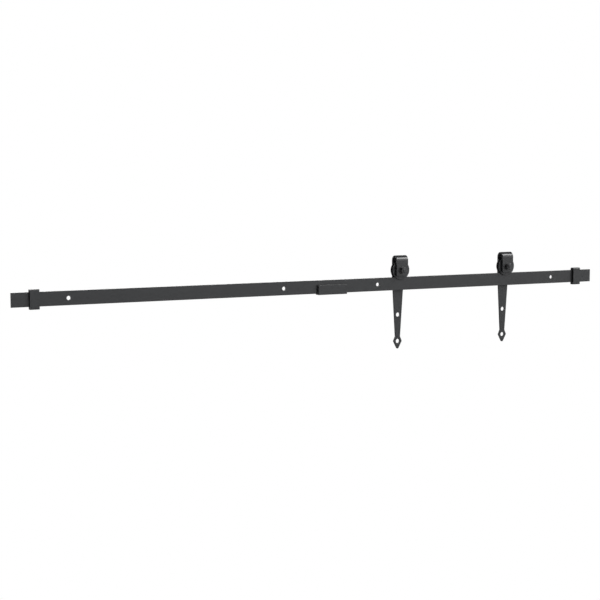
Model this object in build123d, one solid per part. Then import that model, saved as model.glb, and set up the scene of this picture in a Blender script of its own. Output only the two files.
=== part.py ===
from build123d import *
import math
import os

# Flat-track hardware for a sliding barn door: a rail in two sections with a joint channel, two end stops,
# and two strap hangers whose grooved wheels roll on the rail's top edge.
# Millimetres. X runs along the rail, Z is up, and the wall is on the -Y side. The origin is the middle of
# the rail, at half its height, on the face that looks at the wall. Hangers and wheels are drawn about
# their own axle, with Y = 0 in the middle of the wheel, and then placed.

# Rail
RAIL_LENGTH = 1830.0
RAIL_HEIGHT = 38.0
RAIL_THICKNESS = 5.0
RAIL_EDGE_RADIUS = 0.6
SECTION_GAP = 0.2
WALL_HOLE_RADIUS = 5.5
WALL_HOLE_INSET = 150.0      # from each end of a section

# Joint channel: a grooved bar under the two rail ends, clamped from the room side
JOINT_LENGTH = 90.0
JOINT_TOP = 5.4
JOINT_FLOOR = 3.2
JOINT_WALL_BACK = 8.0        # wall side
JOINT_WALL_FRONT = 6.0       # room side, thinner to let the hanger legs pass
JOINT_GROOVE = 5.2
JOINT_EDGE_RADIUS = 0.8
JOINT_SCREW_X = (-34.0, -14.0, 14.0, 34.0)
JOINT_SCREW_Z = -7.0
JOINT_SCREW_RADIUS = 2.5
JOINT_SCREW_SINK = 0.3

# End stops: a steel band round the rail, against its room side and over rubber on the other three
STOP_X = {"left": -855.5, "right": 858.0}
STOP_WIDTH = 25.0
STOP_BAND = 2.8
STOP_LINER = 4.2
STOP_CORNER_RADIUS = 3.0
STOP_FIT = 0.05
STOP_SCREW_SPREAD = 6.0
STOP_SCREW_RADIUS = 3.0
STOP_SCREW_SINK = 0.4

# Wheel and its place over the rail
TREAD_RADIUS = 20.5
ROLL_GAP = 0.05
FLANGE_RADIUS = 28.0
WHEEL_WIDTH = 14.0
GROOVE_WIDTH = 6.6           # at the tread
FLANGE_TIP = 2.4
WHEEL_EDGE = 0.7
BEARING_SEAT_SHOULDER = 11.0
CLIP_THICKNESS = 1.2
CLIP_GROOVE_RADIUS = 13.7
CLIP_RADIUS = 13.6
CLIP_INNER_RADIUS = 11.4
CLIP_GAP = 5.0

# Ball bearing, 10 x 26 x 8
BORE_RADIUS = 5.0
BEARING_RADIUS = 13.0
BEARING_WIDTH = 8.0
PITCH_RADIUS = 9.0
BALL_RADIUS = 2.381
BALL_COUNT = 7
BALL_GAP = 0.03
INNER_LAND = 7.4
OUTER_LAND = 10.6
SHIELD_SEAT = 11.0
SHIELD_BORE = 7.65
SHIELD_THICKNESS = 0.5
SHIELD_SINK = 0.2
CAGE_INNER = 8.2
CAGE_OUTER = 9.8
CAGE_WIDTH = 6.0
CAGE_POCKET = 2.48

# Hanger strap, from one 38 x 5 flat
HANGER_X = {"left": 225.0, "right": 594.5}
STRAP_WIDTH = 38.0
STRAP_THICKNESS = 5.0
STRAP_DEPTH = 29.4           # over the two legs
STRAP_TOP = 82.3
STRAP_EDGE_RADIUS = 0.6
SHORT_LEG_BOTTOM = 22.0
SHORT_LEG_CORNER = 5.0
TAPER_TOP = 17.5
NECK_WIDTH = 15.8
NECK_Z = -156.8
HEAD_WIDTH = 27.7
HEAD_Z = -170.5
TIP_Z = -196.7               # where the head's straight sides would meet
NECK_RADIUS = 3.0
HEAD_RADIUS = 2.0
TIP_RADIUS = 3.4
DOOR_HOLE_RADIUS = 6.4
DOOR_HOLES_Z = (-92.5, -170.5)

# M10 axle bolt, nut and washers
HEX_WIDTH = 17.0
HEAD_HEIGHT = 6.4
NUT_HEIGHT = 8.4
WASHER_RADIUS = 10.0
WASHER_THICKNESS = 2.0
THREAD_STANDS_OUT = 2.5
HEX_BEVEL_RADIUS = 8.1       # of the flat circle left on a hexagon's end
BOLT_CHAMFER = 1.0
SPACER_RADIUS = 7.0
NUT_TURN = {"left": 0.0, "right": 17.0}

RAIL_TOP = RAIL_HEIGHT / 2
RAIL_MIDDLE = RAIL_THICKNESS / 2
AXLE_Z = RAIL_TOP + ROLL_GAP + TREAD_RADIUS
LEG_INNER = STRAP_DEPTH / 2 - STRAP_THICKNESS


def block(x_range, y_range, z_range):
    """A box between two limits on each axis."""
    sizes = [high - low for low, high in (x_range, y_range, z_range)]
    middle = [(high + low) / 2 for low, high in (x_range, y_range, z_range)]
    return Pos(*middle) * Box(*sizes)


def rod(radius, y_low, y_high, x=0.0, z=0.0):
    """A cylinder along Y."""
    return Pos(x, (y_low + y_high) / 2, z) * Rot(90, 0, 0) * Cylinder(radius, y_high - y_low)


def tube(radius, bore, y_low, y_high):
    """A ring about the Y axis."""
    return rod(radius, y_low, y_high) - rod(bore, y_low, y_high)


def turned(points):
    """A solid turned about Y from its (radius, y) outline."""
    return revolve(make_face(Polyline(*points, close=True)), axis=Axis.Y)


def hexagon(y_low, y_high, turn):
    """A hexagonal bar along Y, a corner towards +X before the turn, its corners turned down at both ends."""
    corner = HEX_WIDTH / math.sqrt(3)
    drop = (corner - HEX_BEVEL_RADIUS) * math.tan(math.radians(30))
    section = Rot(90, 0, 0) * Rot(0, 0, turn) * RegularPolygon(corner, 6)
    bar = Pos(0, y_high, 0) * extrude(section, amount=y_high - y_low)
    return bar & turned([
        (0, y_low), (HEX_BEVEL_RADIUS, y_low), (corner, y_low + drop),
        (corner, y_high - drop), (HEX_BEVEL_RADIUS, y_high), (0, y_high),
    ])


def rounded(solid, radius, axis):
    """The solid with its edges along one axis rounded."""
    return fillet(solid.edges().filter_by(axis), radius)


def socket_screw(radius, length, key):
    """A set screw up the Z axis from Z = 0, with its hexagon socket in the lower end."""
    screw = Pos(0, 0, length / 2) * Cylinder(radius, length)
    screw = chamfer(screw.edges().filter_by(GeomType.CIRCLE), radius * 0.12)
    return screw - extrude(RegularPolygon(key / math.sqrt(3), 6), amount=length * 0.45)


def rail_section(side):
    """One half of the rail, side -1 for left and +1 for right."""
    near, far = SECTION_GAP / 2, RAIL_LENGTH / 2
    x_range = (near, far) if side > 0 else (-far, -near)
    bar = rounded(block(x_range, (0, RAIL_THICKNESS), (-RAIL_TOP, RAIL_TOP)), RAIL_EDGE_RADIUS, Axis.X)
    for x in (WALL_HOLE_INSET, far - WALL_HOLE_INSET):
        bar -= rod(WALL_HOLE_RADIUS, 0, RAIL_THICKNESS, side * x)
    return bar


def joint_channel():
    """The grooved bar that joins the sections, its screw holes opening to the room."""
    front = JOINT_GROOVE + JOINT_WALL_FRONT
    reach = (-JOINT_LENGTH / 2, JOINT_LENGTH / 2)
    bar = block(reach, (-JOINT_WALL_BACK, front), (-RAIL_TOP - JOINT_FLOOR, JOINT_TOP))
    bar = rounded(bar, JOINT_EDGE_RADIUS, Axis.X)
    bar -= block(reach, (0, JOINT_GROOVE), (-RAIL_TOP, JOINT_TOP))
    for x in JOINT_SCREW_X:
        bar -= rod(JOINT_SCREW_RADIUS, JOINT_GROOVE, front, x, JOINT_SCREW_Z)
    return bar


def joint_screws():
    """Set screws from the room side, their points on the rail."""
    outer = JOINT_GROOVE + JOINT_WALL_FRONT - JOINT_SCREW_SINK
    screw = Rot(90, 0, 0) * socket_screw(JOINT_SCREW_RADIUS, outer - RAIL_THICKNESS, 2.5)
    return [Pos(x, outer, JOINT_SCREW_Z) * screw for x in JOINT_SCREW_X]


def sleeve_block(wall_gap, room_gap, edge_gap):
    """A block as long as a stop, reaching so far beyond the rail's wall side, its room side and its edges."""
    reach = RAIL_TOP + edge_gap
    return block((-STOP_WIDTH / 2, STOP_WIDTH / 2), (-wall_gap, RAIL_THICKNESS + room_gap), (-reach, reach))


def with_screw_holes(loop):
    """The loop with the holes for the stop's two clamp screws through its underside."""
    length = STOP_FIT + STOP_LINER + STOP_BAND
    for x in (-STOP_SCREW_SPREAD, STOP_SCREW_SPREAD):
        loop -= Pos(x, RAIL_MIDDLE, -RAIL_TOP - length / 2) * Cylinder(STOP_SCREW_RADIUS, length)
    return loop


def stop_band():
    """The steel band of an end stop."""
    inner = STOP_FIT + STOP_LINER
    outer = inner + STOP_BAND
    solid = rounded(sleeve_block(outer, STOP_FIT + STOP_BAND, outer), STOP_CORNER_RADIUS, Axis.X)
    return with_screw_holes(solid - sleeve_block(inner, STOP_FIT, inner))


def stop_liner():
    """The rubber between the band and the rail, on the wall side and both edges."""
    inner = STOP_FIT + STOP_LINER
    return with_screw_holes(sleeve_block(inner, STOP_FIT, inner) - sleeve_block(STOP_FIT, STOP_FIT, STOP_FIT))


def stop_screws():
    """The two clamp screws, from below, their tips just under the rail."""
    length = STOP_LINER + STOP_BAND - STOP_SCREW_SINK
    low = -RAIL_TOP - STOP_FIT - length
    screw = socket_screw(STOP_SCREW_RADIUS, length, 3.0)
    return [Pos(x, RAIL_MIDDLE, low) * screw for x in (-STOP_SCREW_SPREAD, STOP_SCREW_SPREAD)]


def wheel():
    """The grooved wheel, with a bearing seat open to the room side."""
    face = WHEEL_WIDTH / 2
    tip = face - FLANGE_TIP
    foot = GROOVE_WIDTH / 2
    seat = BEARING_WIDTH / 2
    clip = seat + CLIP_THICKNESS
    rim = FLANGE_RADIUS - WHEEL_EDGE
    return turned([
        (BEARING_SEAT_SHOULDER, -face), (rim, -face), (FLANGE_RADIUS, -face + WHEEL_EDGE),
        (FLANGE_RADIUS, -tip), (TREAD_RADIUS, -foot), (TREAD_RADIUS, foot), (FLANGE_RADIUS, tip),
        (FLANGE_RADIUS, face - WHEEL_EDGE), (rim, face), (BEARING_RADIUS, face),
        (BEARING_RADIUS, clip), (CLIP_GROOVE_RADIUS, clip), (CLIP_GROOVE_RADIUS, seat),
        (BEARING_RADIUS, seat), (BEARING_RADIUS, -seat), (BEARING_SEAT_SHOULDER, -seat),
    ])


def retaining_ring():
    """The spring ring that holds the bearing in the wheel, open at the bottom."""
    seat = BEARING_WIDTH / 2
    ring = tube(CLIP_RADIUS, CLIP_INNER_RADIUS, seat, seat + CLIP_THICKNESS)
    return ring - block((-CLIP_GAP / 2, CLIP_GAP / 2), (seat, seat + CLIP_THICKNESS), (-CLIP_RADIUS, 0))


def ball_track():
    """The round space that the balls run in, as a turned solid."""
    return revolve(Pos(PITCH_RADIUS, 0) * Circle(BALL_RADIUS + BALL_GAP), axis=Axis.Y)


def bearing_outer_ring():
    """The ring that is pressed into the wheel, stepped at each face for a shield."""
    half = BEARING_WIDTH / 2
    step = half - SHIELD_SINK - SHIELD_THICKNESS
    ring = tube(BEARING_RADIUS, OUTER_LAND, -half, half) - ball_track()
    ring -= rod(SHIELD_SEAT, step, half)
    return ring - rod(SHIELD_SEAT, -half, -step)


def bearing_inner_ring():
    """The ring that is clamped on the axle bolt."""
    half = BEARING_WIDTH / 2
    return tube(INNER_LAND, BORE_RADIUS, -half, half) - ball_track()


def bearing_shields():
    """The thin discs that close the bearing's two sides."""
    high = BEARING_WIDTH / 2 - SHIELD_SINK
    low = high - SHIELD_THICKNESS
    return [tube(SHIELD_SEAT, SHIELD_BORE, low, high), tube(SHIELD_SEAT, SHIELD_BORE, -high, -low)]


def ball_places():
    """The ball centres, evenly round the pitch circle, the first at the bottom."""
    angles = [math.tau * number / BALL_COUNT - math.pi / 2 for number in range(BALL_COUNT)]
    return [Pos(PITCH_RADIUS * math.cos(angle), 0, PITCH_RADIUS * math.sin(angle)) for angle in angles]


def bearing_balls():
    """The balls."""
    return [place * Sphere(BALL_RADIUS) for place in ball_places()]


def bearing_cage():
    """The ring with a pocket for each ball."""
    cage = tube(CAGE_OUTER, CAGE_INNER, -CAGE_WIDTH / 2, CAGE_WIDTH / 2)
    for place in ball_places():
        cage -= place * Sphere(CAGE_POCKET)
    return cage


def strap_arch():
    """The inverted U, as wide as the flat, with its long leg cut off where the taper starts."""
    outer = STRAP_DEPTH / 2
    centre = STRAP_TOP - outer - AXLE_Z
    short_end = SHORT_LEG_BOTTOM - AXLE_Z
    long_end = TAPER_TOP - AXLE_Z
    half = (-STRAP_WIDTH / 2, STRAP_WIDTH / 2)
    ring = Plane.YZ * (Circle(outer) - Circle(LEG_INNER))
    bend = Pos(-STRAP_WIDTH / 2, 0, centre) * extrude(ring, amount=STRAP_WIDTH)
    bend &= block(half, (-outer, outer), (centre, centre + outer))
    short_leg = block(half, (-outer, -LEG_INNER), (short_end, centre))
    corners = short_leg.edges().filter_by(Axis.Y).group_by(Axis.Z)[0]
    short_leg = fillet(corners, SHORT_LEG_CORNER)
    long_leg = block(half, (LEG_INNER, outer), (long_end, centre))
    return bend + short_leg + long_leg


def strap_tail():
    """The tapered leg and its pointed head, as a plate in the long leg's plane."""
    half_points = [(STRAP_WIDTH / 2, TAPER_TOP), (NECK_WIDTH / 2, NECK_Z), (HEAD_WIDTH / 2, HEAD_Z)]
    mirrored = [(-x, z) for x, z in reversed(half_points)]
    outline = make_face(Polyline(*half_points, (0, TIP_Z), *mirrored, close=True))
    corner_radii = {NECK_Z: NECK_RADIUS, HEAD_Z: HEAD_RADIUS, TIP_Z: TIP_RADIUS}
    for z, radius in corner_radii.items():
        corners = [vertex for vertex in outline.vertices() if abs(vertex.Y - z) < 0.01]
        outline = fillet(corners, radius)
    plate = extrude(Plane.XZ * outline, amount=STRAP_THICKNESS)
    return Pos(0, STRAP_DEPTH / 2, -AXLE_Z) * plate


def hanger_strap():
    """The bent strap with its axle hole and two door-bolt holes, its long edges eased."""
    strap = strap_arch() + strap_tail()
    across = strap.edges().filter_by(Axis.X) + strap.edges().filter_by(Axis.Y)
    strap = fillet([edge for edge in strap.edges() if edge not in across], STRAP_EDGE_RADIUS)
    strap -= rod(BORE_RADIUS, -STRAP_DEPTH / 2, STRAP_DEPTH / 2)
    for z in DOOR_HOLES_Z:
        strap -= rod(DOOR_HOLE_RADIUS, LEG_INNER, STRAP_DEPTH / 2, 0, z - AXLE_Z)
    return strap


def axle_bolt():
    """The hexagon bolt that carries the wheel, its head on the room side."""
    washer = STRAP_DEPTH / 2 + WASHER_THICKNESS
    end = -washer - NUT_HEIGHT - THREAD_STANDS_OUT
    shank = turned([
        (0, end), (BORE_RADIUS - BOLT_CHAMFER, end), (BORE_RADIUS, end + BOLT_CHAMFER),
        (BORE_RADIUS, washer), (0, washer),
    ])
    return shank + hexagon(washer, washer + HEAD_HEIGHT, 0.0)


def axle_nut(turn):
    """The nut on the short leg."""
    outer = -STRAP_DEPTH / 2 - WASHER_THICKNESS
    inner = outer - NUT_HEIGHT
    return hexagon(inner, outer, turn) - rod(BORE_RADIUS, inner, outer)


def axle_washers():
    """A washer under the head and one under the nut."""
    leg = STRAP_DEPTH / 2
    front = tube(WASHER_RADIUS, BORE_RADIUS, leg, leg + WASHER_THICKNESS)
    return [front, tube(WASHER_RADIUS, BORE_RADIUS, -leg - WASHER_THICKNESS, -leg)]


def axle_spacers():
    """The sleeves between the bearing's inner ring and the strap's legs."""
    ring = BEARING_WIDTH / 2
    front = tube(SPACER_RADIUS, BORE_RADIUS, ring, LEG_INNER)
    return [front, tube(SPACER_RADIUS, BORE_RADIUS, -LEG_INNER, -ring)]


def save(name, shape, place=Pos(0, 0, 0)):
    """Write a sub-part, or a group of alike ones, at its place."""
    pieces = shape if isinstance(shape, list) else [shape]
    solids = [solid for piece in pieces for solid in (place * piece).solids()]
    export_step(Compound(children=solids) if len(solids) > 1 else solids[0], f"parts/{name}.step")


def main():
    os.makedirs("parts", exist_ok=True)
    save("rail_left", rail_section(-1))
    save("rail_right", rail_section(1))
    save("joint_channel", joint_channel())
    save("joint_screws", joint_screws())
    for side, x in STOP_X.items():
        save(f"stop_band_{side}", stop_band(), Pos(x, 0, 0))
        save(f"stop_liner_{side}", stop_liner(), Pos(x, 0, 0))
        save(f"stop_screws_{side}", stop_screws(), Pos(x, 0, 0))
    for side, x in HANGER_X.items():
        axle = Pos(x, RAIL_MIDDLE, AXLE_Z)
        save(f"hanger_strap_{side}", hanger_strap(), axle)
        save(f"axle_bolt_{side}", axle_bolt(), axle)
        save(f"axle_nut_{side}", axle_nut(NUT_TURN[side]), axle)
        save(f"axle_washers_{side}", axle_washers(), axle)
        save(f"axle_spacers_{side}", axle_spacers(), axle)
        save(f"bearing_inner_ring_{side}", bearing_inner_ring(), axle)
        save(f"bearing_balls_{side}", bearing_balls(), axle)
        save(f"bearing_cage_{side}", bearing_cage(), axle)
        save(f"bearing_outer_ring_{side}", bearing_outer_ring(), axle)
        save(f"bearing_shields_{side}", bearing_shields(), axle)
        save(f"retaining_ring_{side}", retaining_ring(), axle)
        save(f"wheel_{side}", wheel(), axle)


main()
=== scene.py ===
import math

import bmesh
import bpy
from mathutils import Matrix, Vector


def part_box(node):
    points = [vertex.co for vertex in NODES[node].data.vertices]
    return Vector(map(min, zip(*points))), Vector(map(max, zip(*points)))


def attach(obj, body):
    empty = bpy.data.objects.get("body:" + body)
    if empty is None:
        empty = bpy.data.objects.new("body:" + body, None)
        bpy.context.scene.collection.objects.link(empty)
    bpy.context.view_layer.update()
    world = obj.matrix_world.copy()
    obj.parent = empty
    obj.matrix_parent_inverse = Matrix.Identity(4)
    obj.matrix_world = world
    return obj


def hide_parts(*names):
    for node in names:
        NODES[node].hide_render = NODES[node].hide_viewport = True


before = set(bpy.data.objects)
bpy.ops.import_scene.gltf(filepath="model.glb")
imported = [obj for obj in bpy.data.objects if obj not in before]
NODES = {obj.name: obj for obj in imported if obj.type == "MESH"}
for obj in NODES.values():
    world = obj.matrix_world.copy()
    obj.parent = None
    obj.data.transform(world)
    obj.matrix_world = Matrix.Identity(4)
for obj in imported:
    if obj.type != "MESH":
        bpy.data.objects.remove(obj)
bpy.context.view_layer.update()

# Sliding barn door hardware: finishes, threaded axle bolts, stage, lights and camera.
# Metres. X runs along the rail, Z is up, and the wall is on the -Y side.

SIDES = ("left", "right")
MM = 0.001

# ---------------------------------------------------------------------------------------- camera

CAMERA_PLACE = (-1.6855, -3.2529, 0.3244)
CAMERA_YAW = 25.98           # degrees from +Y towards +X
CAMERA_DIP = 5.66            # degrees downwards
CAMERA_LENS = 77.65          # millimetres, as the sensor
SENSOR_WIDTH = 36.0
NEAREST_SEEN = 0.1
FURTHEST_SEEN = 200.0


def direction(yaw, dip):
    """The unit vector that a yaw from +Y towards +X and a downward dip point along, in degrees."""
    turn = math.radians(yaw)
    fall = math.radians(dip)
    return Vector((math.sin(turn) * math.cos(fall), math.cos(turn) * math.cos(fall), -math.sin(fall)))


def make_camera():
    data = bpy.data.cameras.new("camera")
    data.lens = CAMERA_LENS
    data.sensor_width = SENSOR_WIDTH
    data.clip_start = NEAREST_SEEN
    data.clip_end = FURTHEST_SEEN
    camera = bpy.data.objects.new("camera", data)
    camera.location = CAMERA_PLACE
    camera.rotation_euler = direction(CAMERA_YAW, CAMERA_DIP).to_track_quat("-Z", "Y").to_euler()
    bpy.context.scene.collection.objects.link(camera)
    bpy.context.scene.camera = camera


# ------------------------------------------------------------------------------- material building

class Level:
    """A shader socket. Arithmetic on it adds Math nodes."""

    def __init__(self, finish, socket):
        self.finish = finish
        self.socket = socket

    def joined(self, operation, first, second=0.0):
        return self.finish.node("ShaderNodeMath", {"operation": operation}, {0: first, 1: second})

    def out(self, name):
        """Another output of the same node."""
        return Level(self.finish, self.socket.node.outputs[name])

    def __add__(self, other):
        return self.joined("ADD", self, other)

    def __radd__(self, other):
        return self.joined("ADD", other, self)

    def __sub__(self, other):
        return self.joined("SUBTRACT", self, other)

    def __rsub__(self, other):
        return self.joined("SUBTRACT", other, self)

    def __mul__(self, other):
        return self.joined("MULTIPLY", self, other)

    def __rmul__(self, other):
        return self.joined("MULTIPLY", other, self)

    def __abs__(self):
        return self.joined("ABSOLUTE", self)


class Finish:
    """One material, or the world round the object, and its nodes."""

    def __init__(self, name, kind=bpy.data.materials):
        self.owner = kind.new(name)
        self.owner.use_nodes = True
        self.tree = self.owner.node_tree
        self.tree.nodes.clear()

    def node(self, kind, settings=None, inputs=None):
        """A node of that type, its settings set first, then its sockets' values or links."""
        made = self.tree.nodes.new(kind)
        for name, value in (settings or {}).items():
            setattr(made, name, value)
        for name, value in (inputs or {}).items():
            if isinstance(value, Level):
                self.tree.links.new(value.socket, made.inputs[name])
            else:
                made.inputs[name].default_value = value
        shown = [socket for socket in made.outputs if socket.enabled]
        return Level(self, shown[0]) if shown else None

    def place(self):
        """The point on the piece, in metres in the piece's own frame."""
        return self.node("ShaderNodeTexCoord").out("Object")

    def facing(self):
        """The piece's own surface direction."""
        return self.node("ShaderNodeTexCoord").out("Normal")

    def parts(self, vector):
        """The three levels of a vector."""
        split = self.node("ShaderNodeSeparateXYZ", {}, {0: vector})
        return split.out("X"), split.out("Y"), split.out("Z")

    def vector(self, x, y, z):
        return self.node("ShaderNodeCombineXYZ", {}, {0: x, 1: y, 2: z})

    def stretched(self, vector, scale):
        return self.node("ShaderNodeVectorMath", {"operation": "MULTIPLY"}, {0: vector, 1: scale})

    def cloud(self, vector, size, detail=2.0, rough=0.5):
        """Soft noise from 0 to 1 whose spots are about that size in metres."""
        inputs = {"Vector": vector, "Scale": 1.0 / size, "Detail": detail, "Roughness": rough}
        return self.node("ShaderNodeTexNoise", {}, inputs).out("Fac")

    def pebbles(self, vector, size):
        """Distance inside cells of about that size in metres."""
        inputs = {"Vector": vector, "Scale": 1.0 / size}
        return self.node("ShaderNodeTexVoronoi", {}, inputs).out("Distance")

    def step(self, level, low, high):
        """0 below low, 1 above high, and smooth between. It falls instead where low is the larger."""
        inputs = {"Value": level, "From Min": low, "From Max": high}
        return self.node("ShaderNodeMapRange", {"interpolation_type": "SMOOTHSTEP"}, inputs)

    def larger(self, first, second):
        return self.node("ShaderNodeMath", {"operation": "MAXIMUM"}, {0: first, 1: second})

    def hypotenuse(self, first, second):
        return self.node("ShaderNodeMath", {"operation": "SQRT"}, {0: first * first + second * second})

    def mixed(self, share, first, second):
        """One colour turning into another as share goes from 0 to 1."""
        inputs = {0: share, 6: first, 7: second}
        return self.node("ShaderNodeMix", {"data_type": "RGBA"}, inputs)

    def bumped(self, height, depth, under=None):
        """A surface direction from a height of 0 to 1 that stands for that depth in metres."""
        inputs = {"Height": height, "Distance": depth, "Strength": 1.0}
        if under is not None:
            inputs["Normal"] = under
        return self.node("ShaderNodeBump", {}, inputs)

    def seen_plain(self, lit, bright):
        """A shader that the camera sees as bright and every other ray as lit."""
        seen = self.node("ShaderNodeLightPath").out("Is Camera Ray")
        return self.node("ShaderNodeMixShader", {}, {0: seen, 1: lit, 2: bright})

    def done(self, **sockets):
        """Ends the material in a Principled shader with those sockets."""
        named = {name.replace("_", " "): value for name, value in sockets.items()}
        shader = self.node("ShaderNodeBsdfPrincipled", {}, named)
        self.node("ShaderNodeOutputMaterial", {}, {"Surface": shader})
        return self.owner


def grey(level, warmth=0.0):
    """A neutral colour, turned a little warm or cold."""
    return (level * (1.0 + warmth), level, level * (1.0 - warmth), 1.0)


# --------------------------------------------------------------------------------------- finishes

COAT_DARK = (0.0395, 0.0415, 0.0445, 1.0)
COAT_LIGHT = (0.0475, 0.0495, 0.0530, 1.0)
COAT_RUBBED = (0.085, 0.088, 0.092, 1.0)
BARE_STEEL = grey(0.30, 0.01)
OXIDE_DARK = (0.044, 0.046, 0.050, 1.0)
OXIDE_LIGHT = (0.064, 0.066, 0.071, 1.0)
RUBBER_DARK = grey(0.012)
RUBBER_BLOOM = grey(0.034, 0.03)
PHOSPHATE_DARK = grey(0.060, 0.02)
PHOSPHATE_LIGHT = grey(0.120, 0.01)
ZINC_BLUE = (0.50, 0.53, 0.56, 1.0)
ZINC_STRAW = (0.60, 0.58, 0.50, 1.0)
GROUND_STEEL = grey(0.62, 0.005)
GROUND_STEEL_DULL = grey(0.42, 0.015)
OILED_STEEL = (0.34, 0.31, 0.26, 1.0)
DUST = grey(0.15, 0.05)
COATED_IOR = 1.5             # of paint, oxide under oil and rubber

# A range is where a level starts to count and where it counts in full
EDGE_RANGE = (0.02, 0.16)    # of how far a face leans from the broad faces
UPWARD_RANGE = (0.55, 0.98)  # of how far it faces up, for dust to lie on it
TOP_FACE_RANGE = (0.80, 0.97)

# Powder coat: sizes of its marks across the surface, and how deep they are
MOTTLE_SIZE = 60.0 * MM
HANDLED_SIZE = 12.0 * MM
HANDLED_STRETCH = (0.25, 1.0, 1.0)
SCRATCH_SIZE = 2.2 * MM
SCRATCH_STRETCH = (0.06, 1.0, 1.0)
CHIP_SIZE = 3.5 * MM
CHIP_DEPTH = 0.08 * MM
PEEL_SIZE = 1.6 * MM
PEEL_DEPTH = 0.07 * MM
GRIT_SIZE = 0.5 * MM
GRIT_DEPTH = 0.025 * MM
PIT_SPACING = 2.2 * MM
PIT_DEPTH = 0.03 * MM
PIT_RANGE = (0.10, 0.02)
SCRATCH_RANGE = (0.69, 0.74)
SCRATCHED_RANGE = (0.50, 0.62)
WORN_RANGE = (0.42, 0.85)
CHIP_RANGE = (0.665, 0.70)
DUST_RANGE = (0.40, 0.75)
COAT_ROUGHNESS = 0.30

# How much of another colour each kind of mark brings
WORN_SHARE = 0.55
SCRATCH_SHARE = 0.25
DUST_SHARE = 0.20
CHIP_SHARE = 0.8

# The wheels' rubbing on the rail's top edge
RUB_DEPTH = 0.6 * MM         # below the top, where the rubbing ends
RUB_FULL_DEPTH = 0.1 * MM
RUB_RANGE = (0.35, 0.70)
STREAK_SIZE = 1.2 * MM
STREAK_STRETCH = (0.02, 1.0, 1.0)


def lean(finish, facing, axis):
    """0 on the broad faces of a shape drawn along or turned about an axis, rising on its rounded edges."""
    levels = dict(zip("XYZ", finish.parts(facing)))
    along = levels.pop(axis)
    across = finish.hypotenuse(*levels.values())
    return finish.step(1.0 - finish.larger(abs(along), across), *EDGE_RANGE)


def powder_coat(name, edge_of, rub_of=None):
    """Satin black powder coat: fine orange peel, faint mottling, rubbed edges with a few tiny chips."""
    finish = Finish(name)
    place = finish.place()
    facing = finish.facing()
    edge = edge_of(finish, place, facing)
    broad = finish.cloud(place, MOTTLE_SIZE, detail=3.0)
    handled_place = finish.stretched(place, HANDLED_STRETCH)
    handled = finish.cloud(handled_place, HANDLED_SIZE, detail=4.0, rough=0.6)
    peel = finish.cloud(place, PEEL_SIZE, detail=1.0)
    grit = finish.cloud(place, GRIT_SIZE, rough=0.6)
    pits = finish.step(finish.pebbles(place, PIT_SPACING), *PIT_RANGE)
    scratch_place = finish.stretched(place, SCRATCH_STRETCH)
    scratch_lines = finish.cloud(scratch_place, SCRATCH_SIZE, detail=3.0, rough=0.7)
    scratches = finish.step(scratch_lines, *SCRATCH_RANGE) * finish.step(handled, *SCRATCHED_RANGE)

    worn = edge * finish.step(broad + 0.35 * handled, *WORN_RANGE)
    if rub_of is not None:
        worn = finish.larger(worn, rub_of(finish, place, facing))
    chips = edge * finish.step(finish.cloud(place, CHIP_SIZE, detail=4.0, rough=0.7), *CHIP_RANGE)
    up = finish.parts(facing)[2]
    dust = finish.step(up, *UPWARD_RANGE) * finish.step(handled, *DUST_RANGE)

    colour = finish.mixed(0.25 * broad + 0.75 * grit, COAT_DARK, COAT_LIGHT)
    colour = finish.mixed(WORN_SHARE * worn, colour, COAT_RUBBED)
    colour = finish.mixed(SCRATCH_SHARE * scratches, colour, COAT_RUBBED)
    colour = finish.mixed(DUST_SHARE * dust, colour, DUST)
    colour = finish.mixed(CHIP_SHARE * chips, colour, BARE_STEEL)
    rough = COAT_ROUGHNESS + 0.06 * broad + 0.08 * handled + 0.10 * dust - 0.08 * worn + 0.08 * scratches
    surface = finish.bumped(peel, PEEL_DEPTH)
    surface = finish.bumped(grit, GRIT_DEPTH, surface)
    surface = finish.bumped(1.0 - pits, PIT_DEPTH, surface)
    surface = finish.bumped(1.0 - finish.larger(chips, 0.2 * scratches), CHIP_DEPTH, surface)
    return finish.done(
        Base_Color=colour,
        Roughness=rough,
        Metallic=0.6 * chips,
        Normal=surface,
        IOR=COATED_IOR,
    )


TAPER_BLEND = 0.5 * MM       # each way from where the arch's edges hand over to the tail's


def bar_edges(finish, place, facing):
    """The rounded long edges of something drawn along X."""
    return lean(finish, facing, "X")


def strap_edges(taper_top):
    """The strap's rounded edges: the arch is drawn along X, and the tail under it is a plate across Y."""
    def edges(finish, place, facing):
        tail = finish.step(finish.parts(place)[2], taper_top + TAPER_BLEND, taper_top - TAPER_BLEND)
        arch = lean(finish, facing, "X")
        plate = lean(finish, facing, "Y")
        return tail * plate + (1.0 - tail) * arch
    return edges


def roller_track(rail_top):
    """Where the wheels have rubbed the rail's top edge: streaks along it, none on its sides."""
    def rub(finish, place, facing):
        up = finish.step(finish.parts(facing)[2], *TOP_FACE_RANGE)
        high = finish.step(finish.parts(place)[2], rail_top - RUB_DEPTH, rail_top - RUB_FULL_DEPTH)
        streak_place = finish.stretched(place, STREAK_STRETCH)
        streaks = finish.cloud(streak_place, STREAK_SIZE, detail=3.0, rough=0.6)
        return up * high * finish.step(streaks, *RUB_RANGE)
    return rub


def round_axle(finish, place, centre):
    """Distance from an axle along Y, and distance from the wheel's middle plane."""
    x, y, z = finish.parts(place)
    return finish.hypotenuse(x - centre.x, z - centre.z), y - centre.y


def lathe_lines(finish, radius, along, width):
    """Fine rings round the axle, on faces and on barrels alike."""
    return finish.cloud(finish.vector(radius, along, 0.0), width, detail=3.0, rough=0.65)


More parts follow.
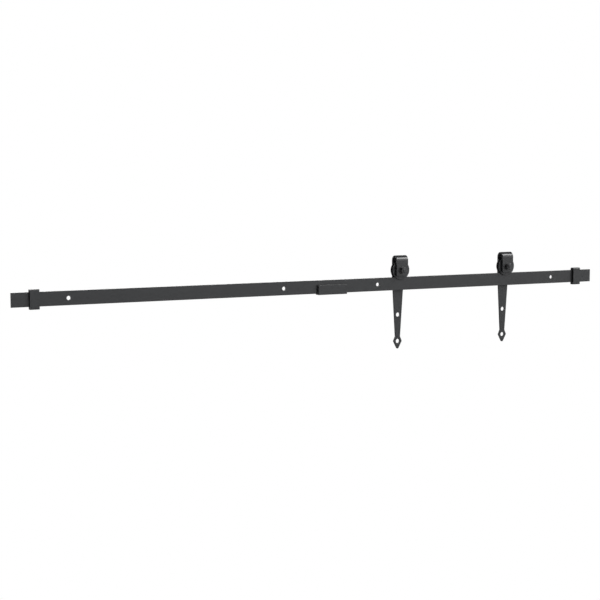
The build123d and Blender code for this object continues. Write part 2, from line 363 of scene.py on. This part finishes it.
WHEEL_RING_WIDTH = 0.7 * MM
WHEEL_RING_DEPTH = 0.03 * MM
WHEEL_MOTTLE_SIZE = 20.0 * MM
WHEEL_PEEL_SIZE = 1.4 * MM
WHEEL_PEEL_DEPTH = 0.04 * MM
WHEEL_GRIT_DEPTH = 0.012 * MM
WHEEL_WORN_SHARE = 0.35
WHEEL_WORN_RANGE = (0.35, 0.75)
WHEEL_ROUGHNESS = 0.32
POLISH_SHARE = 0.75
POLISH_RANGE = (0.30, 0.62)
TREAD_SIDE_RANGE = (0.7 * MM, -0.3 * MM)     # beyond the tread's half width
TREAD_OUTER_RANGE = (1.2 * MM, 0.2 * MM)     # beyond the tread's radius
TREAD_INNER_RANGE = (-0.4 * MM, -0.2 * MM)


def wheel_coat(name, centre, tread_radius, tread_half):
    """The powder-coated wheel: turned rings under the coat, and a tread that running has polished."""
    finish = Finish(name)
    place = finish.place()
    radius, along = round_axle(finish, place, centre)
    edge = lean(finish, finish.facing(), "Y")
    rings = lathe_lines(finish, radius, along, WHEEL_RING_WIDTH)
    broad = finish.cloud(place, WHEEL_MOTTLE_SIZE, detail=3.0)
    grit = finish.cloud(place, GRIT_SIZE, rough=0.6)
    peel = finish.cloud(place, WHEEL_PEEL_SIZE, detail=1.0)
    tread = finish.step(abs(along), *[tread_half + beyond for beyond in TREAD_SIDE_RANGE])
    tread = tread * finish.step(radius, *[tread_radius + beyond for beyond in TREAD_OUTER_RANGE])
    tread = tread * finish.step(radius, *[tread_radius + beyond for beyond in TREAD_INNER_RANGE])
    polish = tread * finish.step(0.6 * rings + 0.4 * broad, *POLISH_RANGE)
    worn = edge * finish.step(broad, *WHEEL_WORN_RANGE)
    colour = finish.mixed(0.3 * broad + 0.7 * grit, COAT_DARK, COAT_LIGHT)
    colour = finish.mixed(WHEEL_WORN_SHARE * worn, colour, COAT_RUBBED)
    colour = finish.mixed(POLISH_SHARE * polish, colour, BARE_STEEL)
    rough = WHEEL_ROUGHNESS + 0.10 * broad + 0.06 * rings - 0.08 * polish
    surface = finish.bumped(rings, WHEEL_RING_DEPTH)
    surface = finish.bumped(peel, WHEEL_PEEL_DEPTH, surface)
    surface = finish.bumped(grit, WHEEL_GRIT_DEPTH, surface)
    return finish.done(
        Base_Color=colour,
        Roughness=rough,
        Metallic=0.8 * polish,
        Normal=surface,
        IOR=COATED_IOR,
    )


OXIDE_MOTTLE_SIZE = 3.0 * MM
OXIDE_GRAIN_SIZE = 0.4 * MM
OXIDE_BLOOM_SIZE = 6.5 * MM
OXIDE_RING_WIDTH = 0.5 * MM
OXIDE_DEPTH = 0.02 * MM
OXIDE_BLOOM_RANGE = (0.52, 0.72)
OXIDE_BLOOM_SHARE = 0.14
OXIDE_ROUGHNESS = 0.30
CORNER_SHARE = 0.55
CORNER_REACH = 0.7 * MM      # how far in from a corner the oxide is rubbed
CORNER_WANDER = 0.5 * MM     # how unevenly the rubbing ends


def black_oxide(name, centre=None, corner_radius=None):
    """Oiled black oxide on steel, rubbed bright at a hexagon's corners when it has them."""
    finish = Finish(name)
    place = finish.place()
    mottle = finish.cloud(place, OXIDE_MOTTLE_SIZE, detail=4.0, rough=0.6)
    grain = finish.cloud(place, OXIDE_GRAIN_SIZE, rough=0.6)
    bloom = finish.step(finish.cloud(place, OXIDE_BLOOM_SIZE), *OXIDE_BLOOM_RANGE)
    colour = finish.mixed(0.5 * mottle + 0.5 * grain, OXIDE_DARK, OXIDE_LIGHT)
    colour = finish.mixed(OXIDE_BLOOM_SHARE * bloom, colour, OILED_STEEL)
    rough = OXIDE_ROUGHNESS + 0.12 * mottle + 0.08 * grain
    height = 0.6 * grain + 0.4 * mottle
    metal = 0.15 + 0.12 * bloom
    if centre is not None:
        radius, along = round_axle(finish, place, centre)
        rings = lathe_lines(finish, radius, along, OXIDE_RING_WIDTH)
        ragged = radius + CORNER_WANDER * (mottle - 0.5)
        corners = finish.step(ragged, corner_radius - CORNER_REACH, corner_radius)
        colour = finish.mixed(CORNER_SHARE * corners, colour, BARE_STEEL)
        metal = metal + 0.5 * corners
        rough = rough + 0.06 * rings
        height = 0.5 * height + 0.5 * rings
    return finish.done(
        Base_Color=colour,
        Roughness=rough,
        Metallic=metal,
        Normal=finish.bumped(height, OXIDE_DEPTH),
        IOR=COATED_IOR,
    )


def liner_rubber(name):
    """Matt black rubber with a moulded grain and a faint grey bloom."""
    grain_size = 0.6 * MM
    grain_depth = 0.03 * MM
    bloom_size = 7.0 * MM
    bloom_range = (0.45, 0.75)
    finish = Finish(name)
    place = finish.place()
    grain = finish.pebbles(place, grain_size)
    bloom = finish.cloud(place, bloom_size, detail=4.0, rough=0.6)
    colour = finish.mixed(finish.step(bloom, *bloom_range), RUBBER_DARK, RUBBER_BLOOM)
    return finish.done(
        Base_Color=colour,
        Roughness=0.72 + 0.16 * bloom,
        Normal=finish.bumped(grain, grain_depth),
        IOR=COATED_IOR,
    )


def spring_steel(name):
    """Phosphated spring steel, blanked and tumbled."""
    mottle_size = 2.0 * MM
    grain_size = 0.3 * MM
    grain_depth = 0.02 * MM
    finish = Finish(name)
    place = finish.place()
    mottle = finish.cloud(place, mottle_size, detail=4.0, rough=0.65)
    grain = finish.cloud(place, grain_size)
    return finish.done(
        Base_Color=finish.mixed(mottle, PHOSPHATE_DARK, PHOSPHATE_LIGHT),
        Roughness=0.42 + 0.16 * mottle,
        Metallic=0.45 + 0.2 * mottle,
        Normal=finish.bumped(grain, grain_depth),
    )


def zinc_plate(name, centre):
    """Clear zinc over a turned sleeve, straw and blue by turns."""
    ring_width = 0.6 * MM
    ring_depth = 0.02 * MM
    tint_size = 6.0 * MM
    tint_range = (0.35, 0.65)
    finish = Finish(name)
    place = finish.place()
    radius, along = round_axle(finish, place, centre)
    rings = lathe_lines(finish, radius, along, ring_width)
    tint = finish.cloud(place, tint_size)
    return finish.done(
        Base_Color=finish.mixed(finish.step(tint, *tint_range), ZINC_BLUE, ZINC_STRAW),
        Roughness=0.24 + 0.14 * rings,
        Metallic=0.95 + 0.05 * tint,
        Normal=finish.bumped(rings, ring_depth),
    )


def bearing_steel(name, centre, line_width, roughest, oil):
    """Bearing steel with rings round the axle, under a film of oil that gathers in spots."""
    film_size = 4.0 * MM
    film_range = (0.50, 0.70)
    ring_depth = 0.008 * MM
    ring_roughness = 0.12
    finish = Finish(name)
    place = finish.place()
    radius, along = round_axle(finish, place, centre)
    rings = lathe_lines(finish, radius, along, line_width)
    film = finish.step(finish.cloud(place, film_size, detail=3.0), *film_range)
    colour = finish.mixed(0.7 * rings, GROUND_STEEL, GROUND_STEEL_DULL)
    colour = finish.mixed(oil * film, colour, OILED_STEEL)
    return finish.done(
        Base_Color=colour,
        Roughness=(roughest - ring_roughness) + ring_roughness * rings,
        Metallic=1.0 - 0.1 * film,
        Normal=finish.bumped(rings, ring_depth),
    )


def paint(node, material):
    """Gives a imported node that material, without touching its mesh."""
    for slot in NODES[node].material_slots:
        slot.link = "OBJECT"
        slot.material = material


def middle(node):
    """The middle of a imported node's box."""
    low_corner, high_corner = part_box(node)
    return (low_corner + high_corner) / 2


def half_width(node):
    """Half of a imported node's box along X."""
    low_corner, high_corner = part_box(node)
    return (high_corner.x - low_corner.x) / 2


# Each bearing finish: the width of its rings, its greatest roughness, and how much oil is on it
BEARING_FINISHES = {
    "ground_bearing_steel": (0.3 * MM, 0.26, 0.3),
    "pressed_bearing_steel": (1.2 * MM, 0.38, 0.6),
    "polished_ball_steel": (4.0 * MM, 0.18, 0.2),
}

TAPER_DEPTH = 64.8 * MM      # from the strap's top to where its tail starts to narrow
TREAD_DEPTH = 7.5 * MM       # of the wheel's groove
TREAD_HALF = 3.3 * MM


def finish_pieces():
    rail_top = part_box("rail_left")[1].z
    rail_coat = powder_coat("rail_powder_coat", bar_edges, roller_track(rail_top))
    block_coat = powder_coat("block_powder_coat", bar_edges)
    strap_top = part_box("hanger_strap_left")[1].z
    strap_coat = powder_coat("strap_powder_coat", strap_edges(strap_top - TAPER_DEPTH))
    screw_oxide = black_oxide("set_screw_black_oxide")
    rubber = liner_rubber("stop_liner_rubber")
    spring = spring_steel("ring_spring_steel")
    hexagon = half_width("axle_nut_left")      # this nut has a corner towards +X
    paint("joint_channel", block_coat)
    paint("joint_screws", screw_oxide)
    for side in SIDES:
        wheel = middle(f"wheel_{side}")
        tread_radius = half_width(f"wheel_{side}") - TREAD_DEPTH
        coated_wheel = wheel_coat(f"wheel_powder_coat_{side}", wheel, tread_radius, TREAD_HALF)
        oxide = black_oxide(f"axle_black_oxide_{side}", wheel, hexagon)
        ground, pressed, polished = [
            bearing_steel(f"{name}_{side}", wheel, line_width, roughest, oil)
            for name, (line_width, roughest, oil) in BEARING_FINISHES.items()
        ]
        paint(f"rail_{side}", rail_coat)
        paint(f"stop_band_{side}", block_coat)
        paint(f"stop_liner_{side}", rubber)
        paint(f"stop_screws_{side}", screw_oxide)
        paint(f"hanger_strap_{side}", strap_coat)
        paint(f"wheel_{side}", coated_wheel)
        paint(f"axle_nut_{side}", oxide)
        paint(f"axle_washers_{side}", oxide)
        paint(f"axle_spacers_{side}", zinc_plate(f"sleeve_zinc_plate_{side}", wheel))
        paint(f"bearing_inner_ring_{side}", ground)
        paint(f"bearing_outer_ring_{side}", ground)
        paint(f"bearing_shields_{side}", pressed)
        paint(f"bearing_cage_{side}", pressed)
        paint(f"bearing_balls_{side}", polished)
        paint(f"retaining_ring_{side}", spring)
        axle_bolt(side, oxide)


# ------------------------------------------------------------------------------------ axle bolts

HEX_WIDTH = 17.0 * MM        # across the head's flats
HEX_FLAT_SHARE = 0.95        # of that width: the circle left flat on the head's end
HEAD_BEVEL = math.radians(30)
HEAD_BEVEL_STEPS = 8
HEAD_CENTRE_SHARE = 0.5      # of the flat circle: the ring that the end's faces meet at first
SHANK_RADIUS = 5.0 * MM
SEAT_RING_RADIUS = 7.9 * MM  # of the thin round land under the head
SEAT_RING_HEIGHT = 0.4 * MM
THREAD_PITCH = 1.5 * MM
THREAD_DEPTH = 0.92 * MM
THREAD_FLAT = 0.125          # share of the pitch that is flat at the crest, and again at the root
TIP_CHAMFER = 1.0 * MM
ROUND_STEPS = 96
STEPS_A_PITCH = 12
SHARPEST_SMOOTH = math.radians(28)


def hexagon_reach(angle, width):
    """Distance from the middle to the side of a hexagon with a corner at angle 0."""
    sixth = math.tau / 6
    return width / 2 / math.cos(angle % sixth - sixth / 2)


def thread_reach(angle, y):
    """Radius of the thread at one place, a right-hand helix with its crest and root cut flat."""
    turn = (y / THREAD_PITCH + angle / math.tau) % 1.0
    fall = (abs(2.0 * turn - 1.0) - THREAD_FLAT) / (1.0 - 2.0 * THREAD_FLAT)
    return SHANK_RADIUS - THREAD_DEPTH * min(1.0, max(0.0, fall))


def axle_bolt(side, material):
    """The axle bolt with a bevelled head, a seat ring, a plain shank and a cut thread."""
    axle = middle(f"wheel_{side}")
    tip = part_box(f"axle_bolt_{side}")[0].y
    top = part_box(f"axle_bolt_{side}")[1].y
    washer_low, washer_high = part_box(f"axle_washers_{side}")
    seat = washer_high.y
    thread_start = washer_low.y
    flat = HEX_FLAT_SHARE * HEX_WIDTH / 2
    bevel = (HEX_WIDTH / math.sqrt(3) - flat) * math.tan(HEAD_BEVEL)

    def head(drop):
        widest = flat + drop / math.tan(HEAD_BEVEL)
        return lambda angle: min(hexagon_reach(angle, HEX_WIDTH), widest)

    rings = [(top, lambda angle: flat * HEAD_CENTRE_SHARE)]
    for number in range(HEAD_BEVEL_STEPS + 1):
        drop = bevel * number / HEAD_BEVEL_STEPS
        rings.append((top - drop, head(drop)))
    rings.append((seat + SEAT_RING_HEIGHT, head(bevel)))
    rings.append((seat + SEAT_RING_HEIGHT, lambda angle: SEAT_RING_RADIUS))
    rings.append((seat, lambda angle: SEAT_RING_RADIUS))
    rings.append((seat, lambda angle: SHANK_RADIUS))
    rings.append((thread_start, lambda angle: SHANK_RADIUS))
    count = round((thread_start - tip) / THREAD_PITCH * STEPS_A_PITCH)
    for number in range(1, count + 1):
        y = thread_start + (tip - thread_start) * number / count
        end_reach = SHANK_RADIUS - TIP_CHAMFER + (y - tip)
        run_out = min(1.0, number / STEPS_A_PITCH)

        def cut(angle, y=y, end_reach=end_reach, run_out=run_out):
            reach = SHANK_RADIUS - run_out * (SHANK_RADIUS - thread_reach(angle, y))
            return min(reach, end_reach)
        rings.append((y, cut))
    piece = ringed_piece(f"threaded_axle_bolt_{side}", axle, rings, material)
    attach(piece, f"hanger_{side}")
    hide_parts(f"axle_bolt_{side}")


def ringed_piece(name, axle, rings, material):
    """A closed mesh through rings about an axle. Each is a place along Y and a reach for each angle."""
    shape = bmesh.new()
    loops = []
    for y, reach in rings:
        loop = []
        for step in range(ROUND_STEPS):
            angle = math.tau * step / ROUND_STEPS
            x = axle.x + reach(angle) * math.cos(angle)
            z = axle.z + reach(angle) * math.sin(angle)
            loop.append(shape.verts.new((x, y, z)))
        loops.append(loop)
    for upper, lower in zip(loops, loops[1:]):
        for step in range(ROUND_STEPS):
            after = (step + 1) % ROUND_STEPS
            shape.faces.new((upper[step], upper[after], lower[after], lower[step]))
    for loop in (loops[0], loops[-1]):
        hub = shape.verts.new((axle.x, loop[0].co.y, axle.z))
        for step in range(ROUND_STEPS):
            shape.faces.new((loop[step], loop[(step + 1) % ROUND_STEPS], hub))
    bmesh.ops.recalc_face_normals(shape, faces=shape.faces)
    mesh = bpy.data.meshes.new(name)
    shape.to_mesh(mesh)
    shape.free()
    for face in mesh.polygons:
        face.use_smooth = True
    mesh.set_sharp_from_angle(angle=SHARPEST_SMOOTH)
    mesh.materials.append(material)
    piece = bpy.data.objects.new(name, mesh)
    bpy.context.scene.collection.objects.link(piece)
    return piece


# ------------------------------------------------------------------------------- stage and lights

FLOOR_Z = -2.1
FLOOR_REACH = 60.0
FLOOR_GREY = grey(0.7)
WHITE = grey(1.0)
ROOM_GLOW = 0.08             # of the room on the object, which the camera sees as plain white

# Each sun: the direction that it shines from, its strength, and the angle that it fills, in degrees
SUNS = {
    "key": ((0.60, -0.72, 0.35), 1.90, 70.0),
    "glint": ((0.505, -0.512, 0.695), 2.0, 6.0),
    "rear_fill": ((0.10, 0.99, 0.08), 2.4, 50.0),
}
LAMP_DISTANCE = 5.0


def make_floor():
    shape = bmesh.new()
    corners = [(-FLOOR_REACH, -FLOOR_REACH), (FLOOR_REACH, -FLOOR_REACH),
               (FLOOR_REACH, FLOOR_REACH), (-FLOOR_REACH, FLOOR_REACH)]
    shape.faces.new([shape.verts.new((x, y, FLOOR_Z)) for x, y in corners])
    mesh = bpy.data.meshes.new("floor")
    shape.to_mesh(mesh)
    shape.free()
    floor = bpy.data.objects.new("floor", mesh)
    bpy.context.scene.collection.objects.link(floor)
    finish = Finish("pale_floor")
    lit = finish.node("ShaderNodeBsdfDiffuse", {}, {"Color": FLOOR_GREY})
    bright = finish.node("ShaderNodeEmission", {}, {"Color": WHITE, "Strength": 1.0})
    finish.node("ShaderNodeOutputMaterial", {}, {"Surface": finish.seen_plain(lit, bright)})
    mesh.materials.append(finish.owner)


def make_room():
    room = Finish("pale_room", bpy.data.worlds)
    dim = room.node("ShaderNodeBackground", {}, {"Color": WHITE, "Strength": ROOM_GLOW})
    bright = room.node("ShaderNodeBackground", {}, {"Color": WHITE, "Strength": 1.0})
    room.node("ShaderNodeOutputWorld", {}, {"Surface": room.seen_plain(dim, bright)})
    bpy.context.scene.world = room.owner


def make_suns():
    for name, (towards, strength, spread) in SUNS.items():
        data = bpy.data.lights.new(name, "SUN")
        data.energy = strength
        data.angle = math.radians(spread)
        lamp = bpy.data.objects.new(name, data)
        lamp.rotation_euler = (-Vector(towards)).to_track_quat("-Z", "Y").to_euler()
        lamp.location = Vector(towards) * LAMP_DISTANCE
        lamp.visible_diffuse = name != "glint"
        bpy.context.scene.collection.objects.link(lamp)


make_camera()
make_floor()
make_room()
make_suns()
finish_pieces()
bpy.context.scene.view_settings.view_transform = "Standard"
